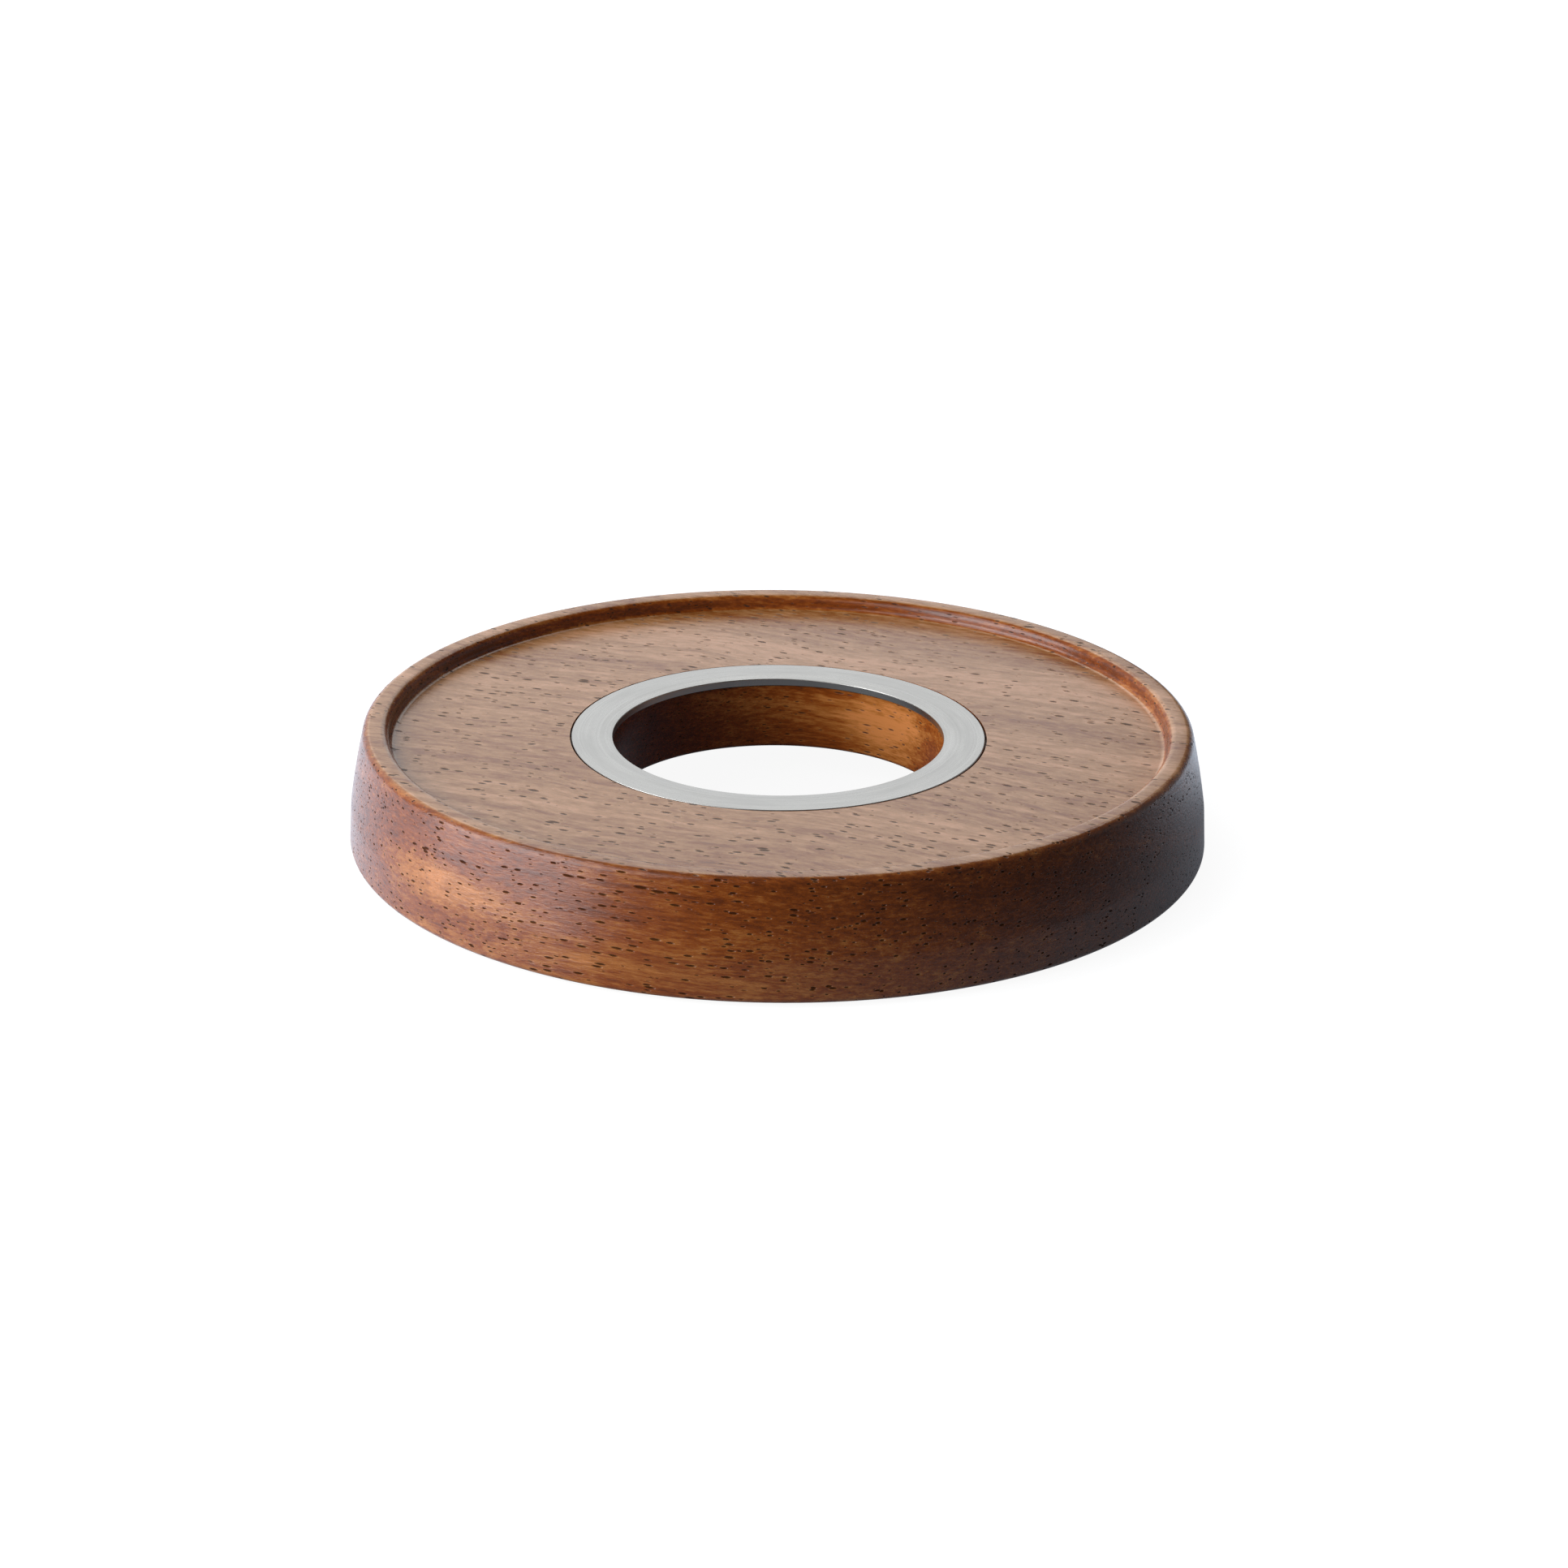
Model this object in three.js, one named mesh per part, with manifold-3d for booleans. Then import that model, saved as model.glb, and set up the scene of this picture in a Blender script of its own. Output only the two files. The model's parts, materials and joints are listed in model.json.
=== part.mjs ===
// A turned hardwood coaster for a vessel with a round foot. One board is turned to a disc with a raised
// rim, a shallow recess and a through hole. A flat steel ring is let into the floor of the recess round
// the hole and held by a film of adhesive. Rubber feet are let into the underside.
// Millimetres, +Z up. The origin is the centre of the surface that the feet stand on.
import * as THREE from "three";
import { mergeVertices } from "three/addons/utils/BufferGeometryUtils.js";
import Module from "manifold-3d";

// Outside of the wooden body
const BODY_HEIGHT = 28.4; // underside to rim top
const BASE_DIAMETER = 207.5; // across the bottom edge, before it is rounded
const SHOULDER_HEIGHT = 10.25; // where the side wall changes slope, above the underside
const SHOULDER_INSET = 0.55; // how far the wall leans in from the bottom edge to the shoulder
const RIM_INSET = 3.45; // how far it leans in from the shoulder to the rim
const WALL_CROWN = 0.2; // how far the wall above the shoulder bows out of a straight taper
const RIM_ROUNDING = 2; // radius of the rim's outer edge
const SHOULDER_ROUNDING = 12; // radius that blends the two slopes of the side wall
const BASE_ROUNDING = 1.2; // radius of the bottom edge

// Recess that takes the vessel
const RIM_WIDTH = 6; // from the top of the side wall to the recess, before the edges are rounded
const RECESS_DEPTH = 3.9; // below the rim top
const RECESS_COVE = 1.5; // radius between the recess wall and its floor
const LIP_ROUNDING = 2; // radius of the rim's inner edge

// Relief turned into the underside round the hole
const RELIEF_REACH = 12; // how far it goes out beyond the steel ring
const RELIEF_DEPTH = 6;
const RELIEF_COVE = 2; // radius between the relief's wall and its ceiling
const RELIEF_EDGE = 0.6; // radius of the relief's mouth
const HOLE_EDGE = 1; // radius of the hole's lower edge

// Steel ring and the film under it
const RING_DIAMETER = 100;
const RING_WIDTH = 10; // from its outer edge to its bore
const RING_THICKNESS = 2;
const RING_EDGE = 0.25; // radius of the ring's two upper edges
const RING_BEVEL_WIDTH = 3; // of the shallow bevel round the bore
const RING_BEVEL_DROP = 0.25; // how far that bevel falls towards the bore
const RING_GAP = 0.375; // between the ring and the wood round it
const RING_PROUD = 0.125; // how far the ring stands above the recess floor
const RING_OVERHANG = 0.5; // how far the ring's bore stands in from the wooden hole
const BOND_THICKNESS = 0.25;
const BOND_MARGIN = 1; // how far the film stops short of both edges of the ring

// Rubber feet
const FOOT_COUNT = 4;
const FOOT_DIAMETER = 16;
const FOOT_THICKNESS = 2.5;
const FOOT_PROUD = 1; // how far a foot stands below the underside
const FOOT_GAP = 0.5; // between a foot and the wall of its socket
const FOOT_EDGE = 0.5; // radius of a foot's lower edge

// Fineness of the round forms
const TURNED_SEGMENTS = 96;
const FOOT_SEGMENTS = 32;
const CROWN_STEPS = 4;
const ARC_STEP = THREE.MathUtils.degToRad(30);
const CUT_MARGIN = 1; // how far a cutter runs past the face that it opens

// Heights and radii that follow from the sizes above
const underside = FOOT_PROUD;
const rimTop = underside + BODY_HEIGHT;
const recessFloor = rimTop - RECESS_DEPTH;
const ringTop = recessFloor + RING_PROUD;
const ringBottom = ringTop - RING_THICKNESS;
const rebateFloor = ringBottom - BOND_THICKNESS;
const reliefCeiling = underside + RELIEF_DEPTH;
const baseRadius = BASE_DIAMETER / 2;
const shoulderRadius = baseRadius - SHOULDER_INSET;
const rimRadius = shoulderRadius - RIM_INSET;
const recessRadius = rimRadius - RIM_WIDTH;
const ringRadius = RING_DIAMETER / 2;
const boreRadius = ringRadius - RING_WIDTH;
const holeRadius = boreRadius + RING_OVERHANG;
const rebateRadius = ringRadius + RING_GAP;
const reliefRadius = ringRadius + RELIEF_REACH;
const footCircleRadius = (reliefRadius + baseRadius) / 2;

const wasm = await Module();
wasm.setup();

const oiledHardwood = new THREE.MeshStandardMaterial({ color: 0x8a5a34, roughness: 0.45, metalness: 0 });
const turnedSteel = new THREE.MeshStandardMaterial({ color: 0xc3c6c8, roughness: 0.3, metalness: 1 });
const adhesiveFilm = new THREE.MeshStandardMaterial({ color: 0xd8d2c0, roughness: 0.6, metalness: 0 });
const blackRubber = new THREE.MeshStandardMaterial({ color: 0x26241f, roughness: 0.85, metalness: 0 });

// A corner of a turned outline: its radius from the axis, its height and the radius that rounds it.
function corner(radius, height, rounding = 0) {
  return { point: new THREE.Vector2(radius, height), rounding };
}

// The points of an outline whose corners are rounded, each rounding limited by the edges beside it.
// A closed outline ends on its own first point, an open one starts and ends on the axis.
function roundedOutline(corners, closed) {
  const points = [];
  corners.forEach(({ point, rounding }, i) => {
    if (rounding === 0) {
      points.push(point.clone());
      return;
    }
    const toPrevious = corners.at(i - 1).point.clone().sub(point);
    const toNext = corners[(i + 1) % corners.length].point.clone().sub(point);
    const room = Math.min(toPrevious.length(), toNext.length()) / 2;
    toPrevious.normalize();
    toNext.normalize();
    const halfAngle = Math.acos(toPrevious.dot(toNext)) / 2;
    const reach = Math.min(rounding / Math.tan(halfAngle), room);
    const arcRadius = reach * Math.tan(halfAngle);
    const centre = toPrevious.clone().add(toNext).setLength(arcRadius / Math.sin(halfAngle)).add(point);
    const start = toPrevious.multiplyScalar(reach).add(point).sub(centre);
    const turn = Math.PI - 2 * halfAngle;
    const sense = Math.sign(start.cross(point.clone().sub(centre)));
    const steps = Math.ceil(turn / ARC_STEP);
    for (let step = 0; step <= steps; step++) {
      const angle = (sense * turn * step) / steps;
      points.push(start.clone().add(centre).rotateAround(centre, angle));
    }
  });
  if (closed) points.push(points[0].clone());
  return points;
}

// A solid turned about the vertical axis from its outline.
function turned(corners, { closed = true, segments = TURNED_SEGMENTS } = {}) {
  const geometry = new THREE.LatheGeometry(roundedOutline(corners, closed), segments);
  return geometry.rotateX(Math.PI / 2);
}

// A geometry as a solid that can be cut, and a solid as a geometry again.
function solidOf(geometry) {
  const bare = geometry.clone();
  bare.deleteAttribute("normal");
  bare.deleteAttribute("uv");
  const { attributes, index } = mergeVertices(bare);
  const mesh = new wasm.Mesh({
    numProp: 3,
    vertProperties: attributes.position.array,
    triVerts: new Uint32Array(index.array),
  });
  return new wasm.Manifold(mesh);
}

function geometryOf(solid) {
  const { vertProperties, triVerts } = solid.getMesh();
  const geometry = new THREE.BufferGeometry();
  geometry.setAttribute("position", new THREE.BufferAttribute(vertProperties, 3));
  geometry.setIndex(new THREE.BufferAttribute(triVerts, 1));
  geometry.computeVertexNormals();
  return geometry;
}

// The side wall from the shoulder up to the rim, bowed out a little on its way.
function crownedWall() {
  const foot = new THREE.Vector2(shoulderRadius, underside + SHOULDER_HEIGHT);
  const head = new THREE.Vector2(rimRadius, rimTop);
  const along = head.clone().sub(foot).normalize();
  const outward = new THREE.Vector2(along.y, -along.x);
  const corners = [];
  for (let step = 1; step < CROWN_STEPS; step++) {
    const share = step / CROWN_STEPS;
    const bow = WALL_CROWN * 4 * share * (1 - share);
    const point = foot.clone().lerp(head, share).addScaledVector(outward, bow);
    corners.push(corner(point.x, point.y));
  }
  return corners;
}

// The places of the feet, at equal angles midway between the relief and the bottom edge.
function footPlaces() {
  return Array.from({ length: FOOT_COUNT }, (_, i) => {
    const angle = (2 * Math.PI * (i + 0.5)) / FOOT_COUNT;
    return new THREE.Vector3(footCircleRadius * Math.cos(angle), footCircleRadius * Math.sin(angle), 0);
  });
}

// The wooden body: the turned disc, less one socket for each foot.
function bodyGeometry() {
  const disc = turned([
    corner(holeRadius, rebateFloor),
    corner(holeRadius, reliefCeiling, HOLE_EDGE),
    corner(reliefRadius, reliefCeiling, RELIEF_COVE),
    corner(reliefRadius, underside, RELIEF_EDGE),
    corner(baseRadius, underside, BASE_ROUNDING),
    corner(shoulderRadius, underside + SHOULDER_HEIGHT, SHOULDER_ROUNDING),
    ...crownedWall(),
    corner(rimRadius, rimTop, RIM_ROUNDING),
    corner(recessRadius, rimTop, LIP_ROUNDING),
    corner(recessRadius, recessFloor, RECESS_COVE),
    corner(rebateRadius, recessFloor),
    corner(rebateRadius, rebateFloor),
  ]);
  const socketRadius = FOOT_DIAMETER / 2 + FOOT_GAP;
  const socketCeiling = FOOT_THICKNESS;
  const cutterHeight = socketCeiling - underside + CUT_MARGIN;
  const cutter = new THREE.CylinderGeometry(socketRadius, socketRadius, cutterHeight, FOOT_SEGMENTS);
  cutter.rotateX(Math.PI / 2);
  cutter.translate(0, 0, socketCeiling - cutterHeight / 2);
  let body = solidOf(disc);
  for (const place of footPlaces()) {
    body = body.subtract(solidOf(cutter.clone().translate(place.x, place.y, place.z)));
  }
  return geometryOf(body);
}

// The flat steel ring, with a shallow bevel round its bore and its upper edges broken.
function ringGeometry() {
  return turned([
    corner(boreRadius, ringBottom),
    corner(ringRadius, ringBottom),
    corner(ringRadius, ringTop, RING_EDGE),
    corner(boreRadius + RING_BEVEL_WIDTH, ringTop),
    corner(boreRadius, ringTop - RING_BEVEL_DROP, RING_EDGE),
  ]);
}

// The film of adhesive, from the bottom of the rebate to the underside of the ring.
function bondGeometry() {
  const inner = holeRadius + BOND_MARGIN;
  const outer = ringRadius - BOND_MARGIN;
  return turned([
    corner(inner, rebateFloor),
    corner(outer, rebateFloor),
    corner(outer, ringBottom),
    corner(inner, ringBottom),
  ]);
}

// A rubber foot: a disc with a rounded lower edge.
function footGeometry() {
  return turned(
    [
      corner(0, 0),
      corner(FOOT_DIAMETER / 2, 0, FOOT_EDGE),
      corner(FOOT_DIAMETER / 2, FOOT_THICKNESS),
      corner(0, FOOT_THICKNESS),
    ],
    { closed: false, segments: FOOT_SEGMENTS },
  );
}

function piece(name, geometry, material) {
  const mesh = new THREE.Mesh(geometry, material);
  mesh.name = name;
  return mesh;
}

const coaster = new THREE.Group();
coaster.add(piece("coaster_body", bodyGeometry(), oiledHardwood));
coaster.add(piece("steel_ring", ringGeometry(), turnedSteel));
coaster.add(piece("ring_bond", bondGeometry(), adhesiveFilm));
footPlaces().forEach((place, i) => {
  const foot = piece(`foot_pad_${i + 1}`, footGeometry(), blackRubber);
  foot.position.copy(place);
  coaster.add(foot);
});

export default coaster;
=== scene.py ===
"""Looks of a turned hardwood coaster with a steel ring in it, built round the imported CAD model.

Laid out as an add-on and run as a script. Metres, +Z up, the origin on the surface that the feet
stand on.
"""

import json
import math

import bmesh
import bpy
from mathutils import Matrix, Vector

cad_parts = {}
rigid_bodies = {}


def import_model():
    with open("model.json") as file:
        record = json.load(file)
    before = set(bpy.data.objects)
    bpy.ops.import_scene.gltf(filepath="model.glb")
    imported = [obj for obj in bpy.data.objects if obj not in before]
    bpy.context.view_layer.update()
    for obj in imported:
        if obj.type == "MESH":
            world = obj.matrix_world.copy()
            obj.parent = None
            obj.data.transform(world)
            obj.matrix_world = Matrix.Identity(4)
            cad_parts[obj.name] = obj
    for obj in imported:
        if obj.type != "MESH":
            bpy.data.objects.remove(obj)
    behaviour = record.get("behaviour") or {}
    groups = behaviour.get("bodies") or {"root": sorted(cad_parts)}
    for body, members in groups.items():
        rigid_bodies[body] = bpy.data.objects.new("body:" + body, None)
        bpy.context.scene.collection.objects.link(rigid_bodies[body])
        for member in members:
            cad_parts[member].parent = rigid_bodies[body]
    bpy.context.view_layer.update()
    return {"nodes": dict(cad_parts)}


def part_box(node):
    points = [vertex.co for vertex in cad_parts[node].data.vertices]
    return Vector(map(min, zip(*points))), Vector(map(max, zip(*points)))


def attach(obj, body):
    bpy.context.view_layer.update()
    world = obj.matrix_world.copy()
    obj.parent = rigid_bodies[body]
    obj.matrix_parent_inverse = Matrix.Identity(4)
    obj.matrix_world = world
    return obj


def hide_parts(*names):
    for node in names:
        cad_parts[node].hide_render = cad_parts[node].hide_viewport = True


bl_info = {
    "name": "Turned Wooden Coaster",
    "version": (1, 0, 0),
    "blender": (4, 5, 0),
    "location": "3D View > Sidebar > Coaster",
    "description": "Models a turned hardwood coaster with a steel ring and rubber feet",
    "category": "Add Mesh",
}

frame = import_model()

MM = 0.001
TOUCH = 0.02 * MM  # how near a vertex lies to the place that picks it
MERGE = TOUCH / 20  # how near two vertices lie that become one
CUT_MARGIN = 2 * MM  # how far a cutter runs past the face that it opens
SOCKET_EASE = 0.3 * MM  # how far the mouth of a foot's socket is eased
TREAD_SHARE = 0.4  # of a foot's radius, for the flat tread round its dished middle

# Fineness of the round forms
TURNED_SEGMENTS = 256
FOOT_SEGMENTS = 64
CROWN_STEPS = 8

# Edges that turn by less than this are shaded smooth, in degrees
SOFT_EDGE = 35
SHALLOW_EDGE = 3  # for the ring, where it keeps the line at which the bevel begins

BODY_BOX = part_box("coaster_body")
RING_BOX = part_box("steel_ring")
FOOT_NODES = ["foot_pad_1", "foot_pad_2", "foot_pad_3", "foot_pad_4"]


def linear(colour):
    """A hex colour as sRGB, turned to the linear RGBA that Blender works in."""
    channels = [int(colour[i:i + 2], 16) / 255 for i in (1, 3, 5)]
    return [c / 12.92 if c <= 0.04045 else ((c + 0.055) / 1.055) ** 2.4 for c in channels] + [1.0]


def length(name, millimetres, description):
    """A size in metres that a user may change, written here in millimetres."""
    return bpy.props.FloatProperty(
        name=name, description=description, default=millimetres * MM,
        min=0.0, precision=5, subtype="DISTANCE", unit="LENGTH",
    )


def colour(name, code, description):
    """A colour that a user may change, written here as an sRGB hex value."""
    return bpy.props.FloatVectorProperty(
        name=name, description=description, default=linear(code),
        size=4, min=0.0, max=1.0, subtype="COLOR",
    )


class CoasterSizes(bpy.types.PropertyGroup):
    """Sizes of the turned pieces"""

    base_diameter: length("Base diameter", 207.5, "Across the bottom edge, before it is rounded")
    shoulder_height: length(
        "Shoulder height", 10.25, "Where the side wall changes slope, above the underside",
    )
    shoulder_inset: length(
        "Shoulder inset", 0.55, "How far the wall leans in from the bottom edge to the shoulder",
    )
    rim_inset: length("Rim inset", 3.45, "How far the wall leans in from the shoulder to the rim")
    wall_crown: length("Wall crown", 0.2, "How far the wall bows out of a straight taper")
    rim_rounding: length("Rim rounding", 2.0, "Radius of the rim's outer edge")
    shoulder_rounding: length(
        "Shoulder rounding", 12.0, "Radius that blends the two slopes of the wall",
    )
    base_rounding: length("Base rounding", 1.2, "Radius of the bottom edge")
    rim_width: length("Rim width", 6.0, "From the top of the side wall to the recess")
    recess_depth: length("Recess depth", 3.9, "Below the rim's top")
    recess_cove: length("Recess cove", 1.5, "Radius between the recess wall and its floor")
    lip_rounding: length("Lip rounding", 2.0, "Radius of the rim's inner edge")
    relief_reach: length(
        "Relief reach", 12.0, "How far the underside's relief goes beyond the ring",
    )
    relief_depth: length("Relief depth", 6.0, "Depth of the relief turned into the underside")
    relief_cove: length("Relief cove", 2.0, "Radius between the relief's wall and its ceiling")
    relief_edge: length("Relief edge", 0.6, "Radius of the relief's mouth")
    hole_edge: length("Hole edge", 1.0, "Radius of the hole's lower edge")
    ring_width: length("Ring width", 10.0, "From the ring's outer edge to its bore")
    ring_edge: length("Ring edge", 0.25, "Radius of the ring's upper edges")
    ring_arris: length("Ring arris", 0.15, "Radius of the ring's lower edges")
    ring_bevel_width: length("Ring bevel width", 3.0, "Width of the shallow bevel round the bore")
    ring_bevel_drop: length("Ring bevel drop", 0.25, "How far that bevel falls towards the bore")
    ring_gap: length("Ring gap", 0.375, "Between the ring and the wood round it")
    ring_overhang: length(
        "Ring overhang", 0.5, "How far the ring's bore stands in from the wooden hole",
    )
    bond_thickness: length("Bond thickness", 0.25, "Of the adhesive film under the ring")
    foot_gap: length("Foot gap", 0.5, "Between a foot and the wall of its socket")
    foot_edge: length("Foot edge", 0.5, "Radius of a foot's lower edge")
    foot_dish: length("Foot dish", 0.3, "Depth of the dished middle of a foot's sole")


class CoasterColours(bpy.types.PropertyGroup):
    """Colours of the finishes"""

    wood_dark: colour("Dark wood", "#6b3812", "Dark streaks and end grain, soaked with oil")
    wood_brown: colour("Brown wood", "#93531d", "Late wood and most of the side wall")
    wood_amber: colour("Amber wood", "#b27c4a", "Most of the top")
    # The painted glows, which stand in for light, also reach this pale colour
    wood_pale: colour("Pale wood", "#d49a70", "Early wood and pale streaks")
    oil: colour("Oil", "#ffdeaa", "Tint of the walls, where the wood has drunk more oil")
    pore: colour("Pores", "#331b0c", "Open pores, where the oil has darkened")
    steel: colour("Steel", "#b3b0ab", "Turned stainless steel")
    adhesive: colour("Adhesive", "#d8d2c0", "Cured film under the ring")
    rubber: colour("Rubber", "#211f1d", "Moulded feet")
    daylight: colour("Daylight", "#f5faff", "Light of the lamps")
    floor: colour("Floor", "#a0a0a0", "What the floor gives back to the coaster")
    # Tint of the painted reflection that the floor gives off in reflections only
    floor_sheen: colour("Floor sheen", "#e4efff", "What the floor shows in reflections")


# Small tools for modelling by hand

def deselect_all():
    """Leaves nothing selected, so that an operator acts on the new piece alone."""
    for item in bpy.context.view_layer.objects:
        item.select_set(False)


def turned_blank(name, radius, bottom, top, segments, middle=(0.0, 0.0)):
    """Adds the round blank that a piece is turned from and opens it for editing."""
    deselect_all()
    bpy.ops.mesh.primitive_cylinder_add(
        vertices=segments, radius=radius, depth=top - bottom,
        location=(*middle, (bottom + top) / 2),
    )
    blank = bpy.context.object
    blank.name = blank.data.name = name
    bpy.ops.object.transform_apply(location=True, rotation=True, scale=True)
    bpy.ops.object.mode_set(mode="EDIT")
    return blank


def pick(kind, test):
    """Selects the vertices, edges or faces of the edited mesh that pass a test of their place."""
    bpy.ops.mesh.select_mode(type=kind)
    bpy.ops.mesh.select_all(action="DESELECT")
    data = bpy.context.edit_object.data
    mesh = bmesh.from_edit_mesh(data)
    found = 0
    for item in {"VERT": mesh.verts, "EDGE": mesh.edges, "FACE": mesh.faces}[kind]:
        if test(item):
            item.select_set(True)
            found += 1
    mesh.select_flush_mode()
    bmesh.update_edit_mesh(data)
    if not found:
        raise RuntimeError("no " + kind.lower() + " lies at the place asked for")


def pick_disc(height, up):
    """Selects the end face on the axis at a height that looks up or down."""
    def on_axis(face):
        middle = face.calc_center_median()
        level = abs(middle.z - height) < TOUCH and math.hypot(middle.x, middle.y) < TOUCH
        return level and (face.normal.z > 0) == up

    pick("FACE", on_axis)


def cut_level(level):
    """Cuts a line round the blank at a height."""
    bpy.ops.mesh.select_all(action="SELECT")
    bpy.ops.mesh.bisect(plane_co=(0.0, 0.0, level), plane_no=(0.0, 0.0, 1.0))


def turn_level(level, share, middle=(0.0, 0.0)):
    """Turns the line round the blank at a height to a share of the blank's radius."""
    pick("VERT", lambda vertex: abs(vertex.co.z - level) < TOUCH)
    bpy.ops.transform.resize(value=(share, share, 1.0), center_override=(*middle, level))


def sink(thickness, depth):
    """Insets the selected disc and pushes what is left of it along Z."""
    bpy.ops.mesh.inset(thickness=thickness, depth=0.0)
    if depth:
        bpy.ops.mesh.extrude_region_move(TRANSFORM_OT_translate={"value": (0.0, 0.0, depth)})


def round_edge(radius, height, reach, segments):
    """Rounds the edge on a circle; reach is how far the rounding goes from it on both faces."""
    def lies_on(vertex):
        away = math.hypot(vertex.co.x, vertex.co.y)
        return abs(away - radius) < TOUCH and abs(vertex.co.z - height) < TOUCH

    pick("EDGE", lambda edge: all(lies_on(vertex) for vertex in edge.verts))
    bpy.ops.mesh.bevel(
        offset=reach, offset_type="OFFSET", segments=segments, profile=0.5, affect="EDGES",
    )


def open_through(upper, lower):
    """Joins the two discs on the axis into one through hole."""
    def end(face):
        middle = face.calc_center_median()
        level = min(abs(middle.z - upper), abs(middle.z - lower)) < TOUCH
        return level and math.hypot(middle.x, middle.y) < TOUCH

    pick("FACE", end)
    bpy.ops.mesh.bridge_edge_loops()


def make_active(piece):
    """Selects one piece alone, for the operators that act on the active object."""
    deselect_all()
    piece.select_set(True)
    bpy.context.view_layer.objects.active = piece


def finish_mesh(piece, angle):
    """Closes the editing: normals outwards, soft edges smooth and flat faces kept flat."""
    bpy.ops.mesh.select_all(action="SELECT")
    bpy.ops.mesh.remove_doubles(threshold=MERGE)
    bpy.ops.mesh.normals_make_consistent(inside=False)
    bpy.ops.object.mode_set(mode="OBJECT")
    make_active(piece)
    bpy.ops.object.shade_smooth_by_angle(angle=math.radians(angle))
    weights = piece.modifiers.new("even_faces", "WEIGHTED_NORMAL")
    weights.keep_sharp = True
    weights.weight = 50
    bpy.ops.object.modifier_apply(modifier=weights.name)


def dress(piece, material):
    """Gives a piece its one material."""
    piece.data.materials.clear()
    piece.data.materials.append(material)


def hand_over(piece, slot, *nodes):
    """Sets a new piece to ride on the root body and hides the parts that it replaces; slot is not
    used.
    """
    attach(piece, "root")
    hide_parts(*nodes)


def new_material(name):
    """An empty node material and its node tree."""
    material = bpy.data.materials.new(name)
    material.use_nodes = True
    material.node_tree.nodes.clear()
    return material, material.node_tree


def add(tree, kind, inputs=None, **settings):
    """Adds a node with its settings; each input is a value or the socket that feeds it."""
    node = tree.nodes.new(kind)
    for name, value in settings.items():
        setattr(node, name, value)
    for name, value in (inputs or {}).items():
        socket = node.inputs[name]
        if isinstance(value, bpy.types.NodeSocket):
            tree.links.new(value, socket)
        else:
            socket.default_value = value
    return node


# Materials

WHITE = (1.0, 1.0, 1.0, 1.0)
BLACK = (0.0, 0.0, 0.0, 1.0)

GRAIN_TURN = math.radians(22)  # the fibres run towards the front on the right by this angle
GRAIN_LINE = (math.cos(GRAIN_TURN), -math.sin(GRAIN_TURN), 0.0)
# The broad bands run towards the front on the right too. Their slope is 18 degrees in the middle of
# the board, and grows per mm from the front, where it is 10 degrees, to the back, where it is 25
BAND_SLOPE = 0.32
BAND_FAN = 0.0016
LAYER_RISE = 4.0  # mm that a growth layer moves across the board for each mm of height
RECESS_LEVEL = 25.5  # height where the places of BANDS are read, mm
# Broad bands of the board: place across the grain in mm and tone from dark 0 to pale 1
BANDS = (
    (-190, 0.76), (-145, 0.67), (-115, 0.54), (-80, 0.50), (-66, 0.58), (-54, 0.70), (-42, 0.52),
    (-25, 0.54), (12, 0.74), (28, 0.52), (46, 0.68), (60, 0.82), (80, 0.50), (110, 0.60),
)
# Painted light: pale patches that stand in for the amber glow where light falls, on the lit side
# wall and on the lit far side of the hole's wall: middle and size in mm, and how pale
PAINTED_GLOWS = (
    ((-51.0, -90.0, 15.0), (52.0, 20.0, 6.0), 0.5),
    ((13.0, 38.0, 16.0), (18.0, 11.0, 13.0), 0.6),
)
# Sizes of the grain in mm, along it, across it and up where there are three
SWEEP_SPAN = 70  # over which the grain sweeps
SWEEP_REACH = (0.0, 18.0, 6.0)  # the most that it can sweep, from one side to the other
LINE_SPACING = 8  # of the growth layers' thin lines across the top
STREAK_SIZE = (70, 4, 4)
FIBRE_SIZE = (6, 1.5, 0.7)  # bundles are really about 0.3 mm across, drawn wider so that they show
PORE_CELL = (4.2, 1.5, 0.8)  # pores are really about 0.2 mm across, drawn up to 1 mm to show
PORE_SIZES = (0.06, 0.42)  # of the smallest and the largest pore, in cells
PORE_DEPTH = 0.3
PORE_TINT = 0.85  # how far the darkened oil in a pore hides the wood
FIBRE_HEIGHT = 0.15
# How much each pattern adds to the tone
STREAK_TONE, LINE_TONE, FIBRE_TONE = 0.9, 0.55, 1.5
HALO_TONE = 0.12  # round a pore
# How far a face looks out from the axis, in mm, where a kind of wall begins and where it is reached
OUTER_WALL = (50, 90)
RECESS_WALL = (-50, -80)
INSIDE_WALLS = (-20, -38)
# How much darker the oil leaves the outer wall and the end grain; the recess wall and the bore are
# darkened as painted shade, for the shade that falls in them
WALL_SOAK, RECESS_PAINTED_SHADE, BORE_PAINTED_SHADE, END_SOAK = 0.3, 0.4, 0.2, 0.16
# Specular level of the wood, of the bore, which is left dull, and of a pore, which is a hole
WOOD_GLOSS, BORE_GLOSS, PORE_GLOSS = 0.5, 0.2, 0.03
TOP_COARSENESS = 0.3  # of the wall's, because the top is sanded smoother and its pores are shallow


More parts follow.
